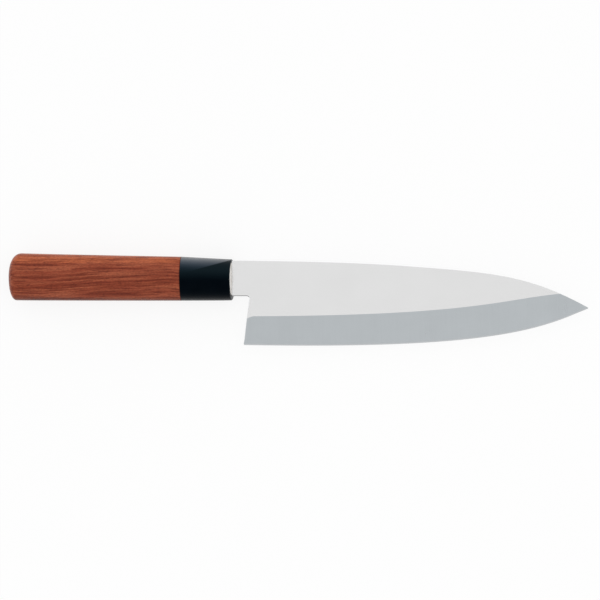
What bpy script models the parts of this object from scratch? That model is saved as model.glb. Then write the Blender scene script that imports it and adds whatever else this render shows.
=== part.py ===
"""Deba knife: a single-bevel kitchen knife with a laminated wood handle and a black collar.

All sizes are in metres. While a piece is drawn, X = 0 is the ferrule's front face with +X towards the tip,
Y = 0 is the height of the handle's underside at both of its ends with +Y towards the spine, and Z = 0 is the
surface that the handle's back lies on, with the bevelled side of the blade up. An empty then carries every
piece to the knife's own frame, whose origin is the middle of the bottom of its box.
"""
import math

import bmesh
import bpy
import numpy as np
from mathutils import Vector
from mathutils.geometry import delaunay_2d_cdt, interpolate_bezier

# Blade outline, from the heel's corner to the tip
BLADE_LENGTH = 0.170
HEEL_SETBACK = 0.0052
HEEL_CORNER_RADIUS = 0.0005
CHOIL_LEAN = 0.00385
CHOIL_RADIUS = 0.0015
SPINE_LEVEL = 0.0193
SPINE_KNEE_X = 0.0865
SPINE_KNEE_DROP = 0.00277
TIP_DROP = 0.0231
EDGE_DEPTH = 0.04145
RIDGE_DEPTH = 0.0273
RIDGE_RUNOUT = 0.0141
RIDGE_DIP = 0.0009
RIDGE_DIP_RUN = 0.0035
NECK_HEIGHT = 0.0174

# Rise over run of the outline's curves where they start, join and end
SPINE_SHOULDER_SLOPE = -0.008
SPINE_KNEE_SLOPE = -0.075
SPINE_TIP_SLOPE = -0.562
EDGE_HEEL_SLOPE = -0.017
EDGE_TIP_SLOPE = 0.488
RIDGE_CHOIL_SLOPE = 0.002
RIDGE_END_SLOPE = 0.091

# How far each curve keeps to its first and to its last slope, as shares of its run along X
SPINE_REAR_PULLS = (0.32, 0.29)
SPINE_FRONT_PULLS = (0.47, 0.32)
EDGE_PULLS = (0.67, 0.146)
RIDGE_PULLS = (0.725, 0.185)

# Blade thickness, bevel, hollow-ground back
HEEL_THICKNESS = 0.0045
RUNOUT_THICKNESS = 0.0029
EDGE_LAND = 0.00015
SPINE_CHAMFER = 0.0005
HOLLOW_DEPTH = 0.00035
HOLLOW_RIM = 0.0032
HOLLOW_SETBACK = 0.012
HOLLOW_TIP_GAP = 0.022
HOLLOW_RAMP = 0.014

# Tang
TANG_LENGTH = 0.088
TANG_HEIGHT = 0.0100
TANG_END_HEIGHT = 0.0062
TANG_END_THICKNESS = 0.0022

# Handle and ferrule
WOOD_LENGTH = 0.0861
FERRULE_LENGTH = 0.0251
BUTT_HEIGHT = 0.0233
SEAM_HEIGHT = 0.02155
MOUTH_HEIGHT = 0.0199
UNDERSIDE_CROWN = 0.00033
BACK_DEPTH = 0.0084
BUTT_FRONT_DEPTH = 0.0094
MOUTH_FRONT_DEPTH = 0.0074
RIDGE_RISE = 0.0008
BUTT_DOME_ABOVE = 0.0064
BUTT_DOME_BELOW = 0.0042
FERRULE_WALL = 0.0024
FERRULE_FRONT_WALL = 0.0030
FERRULE_EDGE_RADIUS = 0.0011

# Bedding and seal
BEDDING_WALL = 0.0006
BEDDING_END = 0.0010
SEAL_WALL = 0.0005
SEAL_FLANGE = 0.0003
SEAL_LIP = 0.0002
SEAL_INSET = 0.0007

# Clearance between any two pieces that touch
SEAT_GAP = 0.0003

# Shape of the oval section and of the butt's dome, as exponents and shares of the half height
SECTION_POWER = 2.25
RIDGE_SPREAD = 0.34
RIDGE_OFFSET = 0.12
DOME_POWER_ALONG = 2.2
DOME_POWER_ACROSS = 2.4

# Number of points round a section, and steps along curves
SECTION_POINTS = 64
SPINE_STEPS = 20
EDGE_STEPS = 44
RIDGE_STEPS = 30
DIP_STEPS = 5
CORNER_STEPS = 6
DOME_STEPS = 9
WOOD_STEPS = 8
HOLLOW_STEPS = 20
HOLLOW_ROWS = 6

# Smooth shading breaks at edges sharper than these
ROUND_SHARP_ANGLE = math.radians(28.0)
BLADE_SHARP_ANGLE = math.radians(6.0)

# Places that follow from the sizes above
SHOULDER_X = SEAT_GAP + SEAL_FLANGE + SEAT_GAP
TIP_X = HEEL_SETBACK + BLADE_LENGTH
SEAM_X = -FERRULE_LENGTH
BUTT_X = SEAM_X - WOOD_LENGTH
RUNOUT_X = TIP_X - RIDGE_RUNOUT
CHOIL_X = HEEL_SETBACK + CHOIL_LEAN
NECK_LEVEL = SPINE_LEVEL - NECK_HEIGHT
TANG_Y = MOUTH_HEIGHT / 2
TANG_Z = BACK_DEPTH
BLADE_BACK_Z = TANG_Z - HEEL_THICKNESS / 2


def clear_scene():
    """Remove every object that the file opened with."""
    for item in list(bpy.data.objects):
        bpy.data.objects.remove(item, do_unlink=True)


def make_material(name, colour, roughness, metallic):
    """One surface finish; the colour is linear red, green and blue."""
    material = bpy.data.materials.new(name)
    material.use_nodes = True
    shader = material.node_tree.nodes["Principled BSDF"]
    shader.inputs["Base Color"].default_value = (*colour, 1.0)
    shader.inputs["Roughness"].default_value = roughness
    shader.inputs["Metallic"].default_value = metallic
    return material


def add_piece(name, mesh_data, material, sharp_angle=ROUND_SHARP_ANGLE):
    """Turn a bmesh into a named object that is smooth except along its sharp edges."""
    bmesh.ops.recalc_face_normals(mesh_data, faces=mesh_data.faces)
    mesh = bpy.data.meshes.new(name)
    mesh_data.to_mesh(mesh)
    mesh_data.free()
    mesh.shade_smooth()
    mesh.set_sharp_from_angle(angle=sharp_angle)
    mesh.materials.append(material)
    piece = bpy.data.objects.new(name, mesh)
    bpy.context.scene.collection.objects.link(piece)
    return piece


def loft(rings, tube=False):
    """Skin a list of rings with as many points each.

    A tube joins its last ring to its first. Otherwise the first and last ring are filled.
    """
    mesh_data = bmesh.new()
    ring_verts = [[mesh_data.verts.new(point) for point in ring] for ring in rings]
    following = ring_verts[1:] + ring_verts[:1] if tube else ring_verts[1:]
    for ring, next_ring in zip(ring_verts, following):
        for index, vert in enumerate(ring):
            after = (index + 1) % len(ring)
            mesh_data.faces.new((vert, ring[after], next_ring[after], next_ring[index]))
    if not tube:
        mesh_data.faces.new(ring_verts[0])
        mesh_data.faces.new(ring_verts[-1])
    return mesh_data


# Handle and ferrule sections


def handle_height(x):
    """Height of the handle or ferrule at x, tapering to the mouth in two straight stretches."""
    return np.interp(x, (BUTT_X, SEAM_X, 0.0), (BUTT_HEIGHT, SEAM_HEIGHT, MOUTH_HEIGHT))


def underside_level(x):
    """The underside bows down between its two ends."""
    share = (x - BUTT_X) / -BUTT_X
    return -UNDERSIDE_CROWN * 4.0 * share * (1.0 - share)


def front_depth(x):
    """Depth of the handle above the tang's middle plane at x, without the ridge."""
    return np.interp(x, (BUTT_X, 0.0), (BUTT_FRONT_DEPTH, MOUTH_FRONT_DEPTH))


def dome_scale(x, length):
    """Share of the full section that the butt's dome of a length has reached at x."""
    left = np.clip(1.0 - (x - BUTT_X) / length, 0.0, 1.0)
    return (1.0 - left ** DOME_POWER_ALONG) ** (1.0 / DOME_POWER_ACROSS)


def handle_section(x, inset=0.0, ridge=RIDGE_RISE):
    """Ring of the oval section at x, with a soft ridge along the side that faces up.

    inset draws the ring in by a wall. In the butt's dome the ring shrinks, less on its lower side.
    """
    angle = np.arange(SECTION_POINTS) * 2.0 * math.pi / SECTION_POINTS
    power = 2.0 / SECTION_POWER
    across = np.sign(np.cos(angle)) * np.abs(np.cos(angle)) ** power
    outward = np.sign(np.sin(angle)) * np.abs(np.sin(angle)) ** power
    half_height = handle_height(x) / 2
    depth = np.where(outward > 0.0, front_depth(x), BACK_DEPTH) - inset
    bump = ridge * np.exp(-(((across - RIDGE_OFFSET) / RIDGE_SPREAD) ** 2)) * (outward > 0.0)
    above, below = dome_scale(x, BUTT_DOME_ABOVE), dome_scale(x, BUTT_DOME_BELOW)
    scale = (above + below) / 2 + (above - below) / 2 * across
    y = underside_level(x) + half_height + (half_height - inset) * across * scale
    z = TANG_Z + (depth * outward + bump * outward) * scale
    return np.column_stack((np.full_like(y, x), y, z))


# Tang, and the rings that fit round it


def tang_half_sizes(x):
    """Half the height and half the thickness of the tapering tang at x."""
    span = (-TANG_LENGTH, SHOULDER_X)
    half_height = np.interp(x, span, (TANG_END_HEIGHT / 2, TANG_HEIGHT / 2))
    half_thickness = np.interp(x, span, (TANG_END_THICKNESS / 2, HEEL_THICKNESS / 2))
    return half_height, half_thickness


def box_ring(x, middle_y, half_height, half_thickness):
    """Rectangular ring about the tang's middle plane, with a point on each corner."""
    angle = np.arange(SECTION_POINTS) * 2.0 * math.pi / SECTION_POINTS
    largest = np.maximum(np.abs(np.cos(angle)), np.abs(np.sin(angle)))
    y = middle_y + half_height * np.cos(angle) / largest
    z = TANG_Z + half_thickness * np.sin(angle) / largest
    return np.column_stack((np.full_like(y, x), y, z))


def tang_ring(x, grow):
    """Ring round the tang at x, larger than it by grow on every side."""
    half_height, half_thickness = tang_half_sizes(x)
    return box_ring(x, TANG_Y, half_height + grow, half_thickness + grow)


# Blade outline and faces


def sweep(start, end, slopes, pulls, count):
    """Points on one cubic curve in X and Y, from the slope and the pull at each of its ends."""
    start, end = Vector(start), Vector(end)
    run = end.x - start.x
    start_handle = start + Vector((1.0, slopes[0])) * run * pulls[0]
    end_handle = end - Vector((1.0, slopes[1])) * run * pulls[1]
    return interpolate_bezier(start, start_handle, end_handle, end, count)


def spine_curve():
    """The back of the blade: nearly straight to the knee, then curving down to the tip."""
    start = (SHOULDER_X, SPINE_LEVEL)
    knee = (SPINE_KNEE_X, SPINE_LEVEL - SPINE_KNEE_DROP)
    tip = (TIP_X, SPINE_LEVEL - TIP_DROP)
    rear_slopes = (SPINE_SHOULDER_SLOPE, SPINE_KNEE_SLOPE)
    front_slopes = (SPINE_KNEE_SLOPE, SPINE_TIP_SLOPE)
    rear = sweep(start, knee, rear_slopes, SPINE_REAR_PULLS, SPINE_STEPS)
    front = sweep(knee, tip, front_slopes, SPINE_FRONT_PULLS, SPINE_STEPS)
    return rear + front[1:]


def edge_curve():
    """The cutting edge, nearly straight at the heel and sweeping up to the tip."""
    heel = (HEEL_SETBACK, SPINE_LEVEL - EDGE_DEPTH)
    tip = (TIP_X, SPINE_LEVEL - TIP_DROP)
    return sweep(heel, tip, (EDGE_HEEL_SLOPE, EDGE_TIP_SLOPE), EDGE_PULLS, EDGE_STEPS)


def level_on(curve, x):
    """Height of a left-to-right curve at x."""
    return np.interp(x, [point.x for point in curve], [point.y for point in curve])


def choil_line(level):
    """X of the leaning line at the blade's heel, at a given height."""
    heel_level = SPINE_LEVEL - EDGE_DEPTH
    return np.interp(level, (heel_level, NECK_LEVEL), (HEEL_SETBACK, CHOIL_X))


def ridge_curve(spine):
    """The line where the flat side ends and the bevel starts.

    It dips a little where it leaves the choil, and runs out into the spine.
    """
    level = SPINE_LEVEL - RIDGE_DEPTH
    start = (float(choil_line(level - RIDGE_DIP)), level)
    end = (RUNOUT_X, float(level_on(spine, RUNOUT_X)))
    line = sweep(start, end, (RIDGE_CHOIL_SLOPE, RIDGE_END_SLOPE), RIDGE_PULLS, RIDGE_STEPS)
    x = start[0] + np.linspace(0.0, RIDGE_DIP_RUN, DIP_STEPS)
    left = np.linspace(1.0, 0.0, DIP_STEPS)
    dipping = [Vector(pair) for pair in zip(x, level_on(line, x) - RIDGE_DIP * left ** 2)]
    return dipping + [point for point in line if point.x > x[-1]]


def fillet(before, corner, after, radius):
    """Points of the round corner of a radius between two straight lines that meet."""
    towards_before = (before - corner).normalized()
    towards_after = (after - corner).normalized()
    half_angle = towards_before.angle(towards_after) / 2
    reach = radius / math.tan(half_angle)
    middle = corner + (towards_before + towards_after).normalized() * radius / math.sin(half_angle)
    start = corner + towards_before * reach - middle
    turn = (corner + towards_after * reach - middle).angle_signed(start)
    points = []
    for step in range(CORNER_STEPS + 1):
        angle = turn * step / CORNER_STEPS
        spoke = Vector((
            start.x * math.cos(angle) - start.y * math.sin(angle),
            start.x * math.sin(angle) + start.y * math.cos(angle),
        ))
        points.append(middle + spoke)
    return points


def blade_outline(spine, edge):
    """Closed outline of the blade and tang, down the edge from the tip and back along the tang."""
    neck_corner = Vector((CHOIL_X, NECK_LEVEL))
    neck_start = Vector((SHOULDER_X, NECK_LEVEL))
    heel_corner = edge[0]
    choil = fillet(heel_corner, neck_corner, neck_start, CHOIL_RADIUS)
    heel = fillet(edge[1], heel_corner, neck_corner, HEEL_CORNER_RADIUS)
    root_half, _ = tang_half_sizes(SHOULDER_X)
    end_half, _ = tang_half_sizes(-TANG_LENGTH)
    tang = [
        Vector((SHOULDER_X, TANG_Y - root_half)),
        Vector((-TANG_LENGTH, TANG_Y - end_half)),
        Vector((-TANG_LENGTH, TANG_Y + end_half)),
        Vector((SHOULDER_X, TANG_Y + root_half)),
    ]
    return spine + edge[-2:0:-1] + heel + choil + [neck_start] + tang


def blade_thickness(x, spine, edge):
    """Thickness of the blade above its edge's bevel, thinning to the ridge's end and then to the tip."""
    tapered = np.interp(x, (SHOULDER_X, RUNOUT_X), (HEEL_THICKNESS, RUNOUT_THICKNESS))
    runout_height = level_on(spine, RUNOUT_X) - level_on(edge, RUNOUT_X)
    height = level_on(spine, x) - level_on(edge, x)
    return np.where(x <= RUNOUT_X, tapered, RUNOUT_THICKNESS * height / runout_height)


def chamfer_at(x, spine, edge):
    """Chamfer of the spine's corners, which thins out with the blade."""
    return np.minimum(SPINE_CHAMFER, blade_thickness(x, spine, edge) / 4)


def hollow_span(x, spine, edge):
    """Upper and lower limit of the hollow ground into the blade's back at x."""
    return level_on(spine, x) - HOLLOW_RIM, level_on(edge, x) + HOLLOW_RIM


def hollow_lift(x, y, spine, edge):
    """Depth of the hollow: a shallow arc across the blade that fades out at both ends."""
    top, bottom = hollow_span(x, spine, edge)
    share = np.clip((top - y) / (top - bottom), 0.0, 1.0)
    from_heel = (x - CHOIL_X - HOLLOW_SETBACK) / HOLLOW_RAMP
    from_tip = (TIP_X - HOLLOW_TIP_GAP - x) / HOLLOW_RAMP
    fade = np.clip(np.minimum(from_heel, from_tip), 0.0, 1.0)
    return HOLLOW_DEPTH * 4.0 * share * (1.0 - share) * fade * fade * (3.0 - 2.0 * fade)


def blade_heights(point, spine, edge, ridge):
    """Heights of the blade's upper and lower face at a point of its plan."""
    x, y = point
    if x < SHOULDER_X:
        _, half_thickness = tang_half_sizes(x)
        return TANG_Z + half_thickness, TANG_Z - half_thickness
    thickness = float(blade_thickness(x, spine, edge))
    edge_level = float(level_on(edge, x))
    ridge_level = float(level_on(ridge, x) if x <= RUNOUT_X else level_on(spine, x))
    rise = (y - edge_level) / max(ridge_level - edge_level, EDGE_LAND)
    upper = max(thickness * min(rise, 1.0), EDGE_LAND)
    chamfer = float(chamfer_at(x, spine, edge))
    cut = max(0.0, chamfer - (float(level_on(spine, x)) - y))
    lower = min(float(hollow_lift(x, y, spine, edge)) + cut, upper / 2)
    return BLADE_BACK_Z + max(upper - cut, lower + EDGE_LAND), BLADE_BACK_Z + lower


def blade_plan(spine, edge, ridge):
    """Split the blade's outline into triangles along the ridge, the chamfer and the hollow's rims."""
    outline = blade_outline(spine, edge)
    hollow_x = np.linspace(CHOIL_X + HOLLOW_SETBACK, TIP_X - HOLLOW_TIP_GAP, HOLLOW_STEPS)
    top, bottom = hollow_span(hollow_x, spine, edge)
    rows = []
    for row in range(HOLLOW_ROWS + 1):
        share = row / HOLLOW_ROWS
        rows.append([Vector(pair) for pair in zip(hollow_x, top + (bottom - top) * share)])
    chamfer = [Vector((p.x, p.y - float(chamfer_at(p.x, spine, edge)))) for p in spine[:-2]]
    points = list(outline)
    creases = []
    for line in [ridge, chamfer, rows[0], rows[-1]]:
        first = len(points)
        points += line
        creases += [(first + step, first + step + 1) for step in range(len(line) - 1)]
    for row in rows[1:-1]:
        points += row
    border = [list(range(len(outline)))]
    result = delaunay_2d_cdt(points, creases, border, 1, 1e-7)
    return result[0], result[2]


def make_blade(material):
    """Steel blade and tang: the plan's triangles as an upper and a lower face, walled along the border."""
    spine, edge = spine_curve(), edge_curve()
    ridge = ridge_curve(spine)
    plan, triangles = blade_plan(spine, edge, ridge)
    mesh_data = bmesh.new()
    heights = [blade_heights(point, spine, edge, ridge) for point in plan]
    upper = [mesh_data.verts.new((p.x, p.y, pair[0])) for p, pair in zip(plan, heights)]
    lower = [mesh_data.verts.new((p.x, p.y, pair[1])) for p, pair in zip(plan, heights)]
    for triangle in triangles:
        mesh_data.faces.new([upper[index] for index in triangle])
        mesh_data.faces.new([lower[index] for index in reversed(triangle)])
    for border in [link for link in mesh_data.edges if link.is_boundary and link.verts[0] in set(upper)]:
        first, second = (upper.index(vert) for vert in border.verts)
        mesh_data.faces.new((upper[first], upper[second], lower[second], lower[first]))
    return add_piece("blade", mesh_data, material, BLADE_SHARP_ANGLE)


# The other pieces


def make_ferrule(material):
    """Black collar: rounded at the front, with a slot in its front wall and a pocket for the tenon."""
    rings = [handle_section(SEAM_X), handle_section(SEAM_X / 2)]
    for step in range(CORNER_STEPS + 1):
        angle = step / CORNER_STEPS * math.pi / 2
        x = FERRULE_EDGE_RADIUS * (math.sin(angle) - 1.0)
        rings.append(handle_section(x, inset=FERRULE_EDGE_RADIUS * (1.0 - math.cos(angle))))
    slot = SEAT_GAP + SEAL_WALL + SEAT_GAP
    rings.append(tang_ring(0.0, slot))
    rings.append(tang_ring(-FERRULE_FRONT_WALL, slot))
    rings.append(handle_section(-FERRULE_FRONT_WALL, inset=FERRULE_WALL, ridge=0.0))
    rings.append(handle_section(SEAM_X, inset=FERRULE_WALL, ridge=0.0))
    return add_piece("ferrule", loft(rings, tube=True), material)


def bedding_reach():
    """X of the bedding's closed end, just past the end of the tang."""
    return -TANG_LENGTH - SEAT_GAP - BEDDING_END


def make_handle(material):
    """Wood: domed butt, plain grip, and a stepped tenon that is bored for the bedded tang."""
    rings = []
    for step in range(DOME_STEPS):
        scale = math.sin(math.pi / 2 * (step + 1) / (DOME_STEPS + 1))
        share = 1.0 - (1.0 - scale ** DOME_POWER_ACROSS) ** (1.0 / DOME_POWER_ALONG)
        rings.append(handle_section(BUTT_X + BUTT_DOME_ABOVE * share))
    shoulder = SEAM_X - SEAT_GAP
    for x in np.linspace(BUTT_X + BUTT_DOME_ABOVE, shoulder, WOOD_STEPS):
        rings.append(handle_section(x))
    tenon_inset = FERRULE_WALL + SEAT_GAP
    tenon_front = -FERRULE_FRONT_WALL - SEAT_GAP
    rings.append(handle_section(shoulder, inset=tenon_inset, ridge=0.0))
    rings.append(handle_section(tenon_front, inset=tenon_inset, ridge=0.0))
    bore = SEAT_GAP + BEDDING_WALL + SEAT_GAP
    rings.append(tang_ring(tenon_front, bore))
    rings.append(tang_ring(-TANG_LENGTH, bore))
    rings.append(tang_ring(bedding_reach() - SEAT_GAP, bore))
    return add_piece("handle", loft(rings), material)


def make_bedding(material):
    """Cured resin cup that fills the bore round the tang."""
    mouth = -FERRULE_FRONT_WALL - SEAT_GAP
    outer = SEAT_GAP + BEDDING_WALL
    rings = [
        tang_ring(bedding_reach(), outer),
        tang_ring(-TANG_LENGTH, outer),
        tang_ring(mouth, outer),
        tang_ring(mouth, SEAT_GAP),
        tang_ring(-TANG_LENGTH, SEAT_GAP),
        tang_ring(-TANG_LENGTH - SEAT_GAP, SEAT_GAP),
    ]
    return add_piece("tang_bedding", loft(rings), material)


def make_seal(material):
    """Pale resin seal: a thin flange under the blade's shoulder and a sleeve round the tang in the slot."""
    rear = -FERRULE_FRONT_WALL
    front = SEAT_GAP + SEAL_FLANGE
    outer = SEAT_GAP + SEAL_WALL
    neck_middle = SPINE_LEVEL - NECK_HEIGHT / 2
    flange_height = NECK_HEIGHT / 2 - SEAL_INSET
    flange_depth = HEEL_THICKNESS / 2 + outer + SEAL_LIP
    rings = [
        tang_ring(rear, outer),
        tang_ring(SEAT_GAP, outer),
        box_ring(SEAT_GAP, neck_middle, flange_height, flange_depth),
        box_ring(front, neck_middle, flange_height, flange_depth),
        tang_ring(front, SEAT_GAP),
        tang_ring(rear, SEAT_GAP),
    ]
    return add_piece("mouth_seal", loft(rings, tube=True), material)


def place_in_frame(pieces):
    """Hang every piece on an empty that puts the origin at the middle of the bottom of the box."""
    corners = np.array([vert.co[:] for piece in pieces for vert in piece.data.vertices])
    low, high = corners.min(axis=0), corners.max(axis=0)
    frame = bpy.data.objects.new("knife_frame", None)
    bpy.context.scene.collection.objects.link(frame)
    frame.location = (-(low[0] + high[0]) / 2, -(low[1] + high[1]) / 2, -low[2])
    for piece in pieces:
        piece.parent = frame


def main():
    clear_scene()
    steel = make_material("satin_steel", (0.72, 0.72, 0.73), 0.30, 1.0)
    resin = make_material("black_resin", (0.012, 0.013, 0.016), 0.22, 0.0)
    wood = make_material("laminated_wood", (0.245, 0.062, 0.034), 0.38, 0.0)
    bedding = make_material("bedding_resin", (0.30, 0.19, 0.09), 0.45, 0.0)
    seal = make_material("seal_resin", (0.58, 0.56, 0.49), 0.35, 0.0)
    place_in_frame([
        make_blade(steel),
        make_ferrule(resin),
        make_handle(wood),
        make_bedding(bedding),
        make_seal(seal),
    ])


main()
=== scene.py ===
"""Looks of the deba knife: fine surfaces, finishes, floor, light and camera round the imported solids.

All sizes are in metres. A piece is worked out in the drawing frame that its solid has: X = 0 is the collar's
front face with +X towards the tip, Y = 0 is the handle's underside with +Y towards the spine, and Z = 0 is
the surface that the handle's back lies on. placed() then carries its points to the knife's own frame. The
finishes measure their patterns in the knife's own frame.
"""

import math

import bmesh
import bpy
import numpy as np
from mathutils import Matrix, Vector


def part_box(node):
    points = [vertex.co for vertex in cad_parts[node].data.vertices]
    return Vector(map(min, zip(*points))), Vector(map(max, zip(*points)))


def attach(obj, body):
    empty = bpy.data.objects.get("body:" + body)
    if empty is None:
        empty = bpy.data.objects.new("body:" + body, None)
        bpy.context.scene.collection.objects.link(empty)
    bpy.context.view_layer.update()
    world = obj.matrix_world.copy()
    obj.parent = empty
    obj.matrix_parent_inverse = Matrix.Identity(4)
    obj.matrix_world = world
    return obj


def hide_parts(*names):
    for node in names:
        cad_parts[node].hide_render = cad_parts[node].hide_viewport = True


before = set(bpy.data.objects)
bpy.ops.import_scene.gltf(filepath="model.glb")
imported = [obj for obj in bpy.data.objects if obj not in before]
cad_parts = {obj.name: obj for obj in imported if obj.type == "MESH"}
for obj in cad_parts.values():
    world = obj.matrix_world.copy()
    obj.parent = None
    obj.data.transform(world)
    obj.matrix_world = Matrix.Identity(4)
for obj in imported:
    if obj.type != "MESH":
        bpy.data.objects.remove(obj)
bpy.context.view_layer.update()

# Blade outline, as the solids have it
BLADE_LENGTH = 0.170
HEEL_SETBACK = 0.0052
HEEL_CORNER_RADIUS = 0.0005
CHOIL_LEAN = 0.00385
CHOIL_RADIUS = 0.0015
SPINE_LEVEL = 0.0193
SPINE_KNEE_X = 0.0865
SPINE_KNEE_DROP = 0.00277
TIP_DROP = 0.0231
EDGE_DEPTH = 0.04145
RIDGE_DEPTH = 0.0273
RIDGE_RUNOUT = 0.0135
RIDGE_DIP = 0.0014
RIDGE_DIP_RUN = 0.0042
NECK_HEIGHT = 0.0174
SPINE_REAR_SLOPES = (-0.008, -0.075)
SPINE_REAR_PULLS = (0.32, 0.29)
SPINE_FRONT_SLOPES = (-0.075, -0.562)
SPINE_FRONT_PULLS = (0.47, 0.32)
EDGE_SLOPES = (-0.017, 0.488)
EDGE_PULLS = (0.67, 0.146)
TIP_BLUNT = 0.00035
TIP_BLUNT_RUN = 0.0070
TIP_RADIUS = 0.0005
RIDGE_SLOPES = (0.002, 0.091)
RIDGE_PULLS = (0.725, 0.185)

# Blade thickness, bevels and the hollow back
HEEL_THICKNESS = 0.0045
RUNOUT_THICKNESS = 0.0029
HOLLOW_DEPTH = 0.00035
HOLLOW_RIM = 0.0032
HOLLOW_SETBACK = 0.012
HOLLOW_TIP_GAP = 0.022
HOLLOW_RAMP = 0.014
HONED_DEPTH = 0.00055
HONED_HEIGHT = 0.00021
HONED_SHARE_OF_BEVEL = 0.4
HONED_SHARE_OF_BLADE = 0.45
SPINE_EASE = 0.00006
NECK_EASE = 0.00030
SHOULDER_EASE = 0.00006
EASE_SHARE = 0.28

# Tang
TANG_Y = 0.00995
TANG_LENGTH = 0.088
TANG_HEIGHT = 0.0100
TANG_END_HEIGHT = 0.0062
TANG_END_THICKNESS = 0.0022
TANG_OVERLAP = 0.0004

# Handle and ferrule
FERRULE_LENGTH = 0.0251
BUTT_HEIGHT = 0.0234
SEAM_HEIGHT = 0.02167
MOUTH_HEIGHT = 0.02023
UNDERSIDE_CROWN = 0.00033
UNDERSIDE_POWER = 0.25
UNDERSIDE_FALL = 0.0001
BACK_DEPTH = 0.0084
BUTT_FRONT_DEPTH = 0.0094
MOUTH_FRONT_DEPTH = 0.0074
RIDGE_RISE = 0.0008
BUTT_DOME_ABOVE = 0.0064
BUTT_DOME_BELOW = 0.0038
FERRULE_WALL = 0.0024
FERRULE_FRONT_WALL = 0.0030
FERRULE_EDGE_RADIUS = 0.0007
SECTION_POWER = 2.25
RIDGE_SPREAD = 0.34
RIDGE_OFFSET = 0.12
DOME_POWER_ALONG = 2.2
DOME_POWER_ACROSS = 2.4
SEAM_EASE = 0.00014

# Bedding, seal and clearance
BEDDING_WALL = 0.0006
BEDDING_END = 0.0010
SEAL_WALL = 0.0005
SEAL_INSET = 0.0007
SEAT_GAP = 0.0003

# Small shapes that only the looks have
BOX_POWER = 12.0
TANG_STEP = 0.0001
FILL_GAP = 0.00004
FILL_RISE = 4.0
JOINT_GAP = 0.00003
MOUTH_GAP = 0.004
SKIN = 0.00002
FACE_LEAN = 0.00034
FACE_LEAN_RUN = 0.004
MOUTH_SHARE = (0.84, 0.87)
MOUTH_RISE = 0.00025
MOUTH_RECESS = 0.0005

# Wood: how its grain wanders, its colours, and painted light and shade by height: darker along the underside,
# brighter towards the top, most in a painted highlight band
GRAIN_RISE = 0.0021
GRAIN_RISE_ENDS = (-0.128, -0.084)
GRAIN_HUMP = 0.0008
GRAIN_HUMP_PLACES = (-0.080, -0.063, -0.050)
GRAIN_WANDER = 0.0010
LAYER_WANDER = 0.6
# Painted light and shade by height: darker along the underside, brighter towards the top, and a painted
# highlight band near the top.
UNDERSIDE_PAINTED_SHADE_BAND = (0.0, 0.0015)
UPPER_PAINTED_LIGHT_BAND = (0.0120, 0.0155)
TOP_PAINTED_HIGHLIGHT_BAND = (0.0174, 0.0184)
UNDERSIDE_PAINTED_SHADE = 0.65
MIDDLE_PAINTED_LIGHT = 1.24
UPPER_PAINTED_LIGHT = 1.30
TOP_PAINTED_HIGHLIGHT = 1.24
SEAM_SHADE_RUN = 0.0006
BUTT_SHADE_RUN = 0.0014
WOOD_TONES = ((0.240, 0.054, 0.026), (0.222, 0.045, 0.021))
WOOD_RED_PATCH = (0.255, 0.040, 0.024)
# Colour of the painted highlight band near the top.
WOOD_PAINTED_HIGHLIGHT = (0.350, 0.095, 0.036)
WOOD_PALE_THREAD = (0.320, 0.087, 0.042)
WOOD_DARK_THREAD = (0.125, 0.020, 0.010)
WOOD_PALE_LINE = (0.310, 0.085, 0.042)
WOOD_DARK_LINE = (0.110, 0.018, 0.009)
WOOD_VEIN = (0.088, 0.014, 0.008)
WOOD_DASH = (0.085, 0.014, 0.009)
WOOD_SEAM_SHADE = (0.045, 0.006, 0.004)
WOOD_BUTT_SHADE = (0.050, 0.010, 0.009)

# Collar: its tones, a painted bluish sheen towards the spine, and a painted highlight on its upper shoulder
COLLAR_TONES = ((0.0003, 0.0008, 0.0018), (0.0008, 0.0016, 0.0030))
# Painted sheen: a bluish tint that grows towards the collar's spine side.
COLLAR_PAINTED_SHEEN = (0.0052, 0.0110, 0.0140)
COLLAR_PAINTED_SHEEN_SPAN = (0.0085, 0.0155)
COLLAR_GLOSS = (0.030, 0.070, 0.105, 1.0)
# Painted highlight on the collar's upper shoulder: its tones, width, fall-off, ends and slanting lower edge.
COLLAR_PAINTED_HIGHLIGHT_TONES = ((0.02, 0.14, 0.33), (0.33, 0.33, 0.33))
COLLAR_PAINTED_HIGHLIGHT_WIDTH = 0.0098
COLLAR_PAINTED_HIGHLIGHT_FALL = 3.4
COLLAR_PAINTED_HIGHLIGHT_ENDS = (-0.0525, -0.0348)
COLLAR_PAINTED_HIGHLIGHT_AT_FRONT = 0.8
COLLAR_PAINTED_HIGHLIGHT_LINE_START = (-0.0408, 0.01693)
COLLAR_PAINTED_HIGHLIGHT_LINE_SLOPE = 0.28
COLLAR_PAINTED_HIGHLIGHT_LINE_SOFTNESS = 0.0003
COLLAR_PAINTED_HIGHLIGHT_WALL = (0.0085, 0.0110)

# Floor, light and camera
FLOOR_HALF = 9.0
FLOOR_GLOW = 1.05
FLOOR_SHADELESS = 0.80
FLOOR_TONES = (0.845, 0.855)
WALL_SPAN = (0.05, 0.72)
OVERHEAD_LEVEL = 0.90
PATCH_LEAN = math.radians(38.0)
PATCH_SPAN = (0.80, 0.97)
PATCH_DIMNESS = 0.25
CAMERA_LEAN = math.radians(7.5)
CAMERA_DISTANCE = 3.0
CAMERA_LENS = 366.75
CAMERA_AIM = (0.001476, -0.000364, 0.008206)

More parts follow.
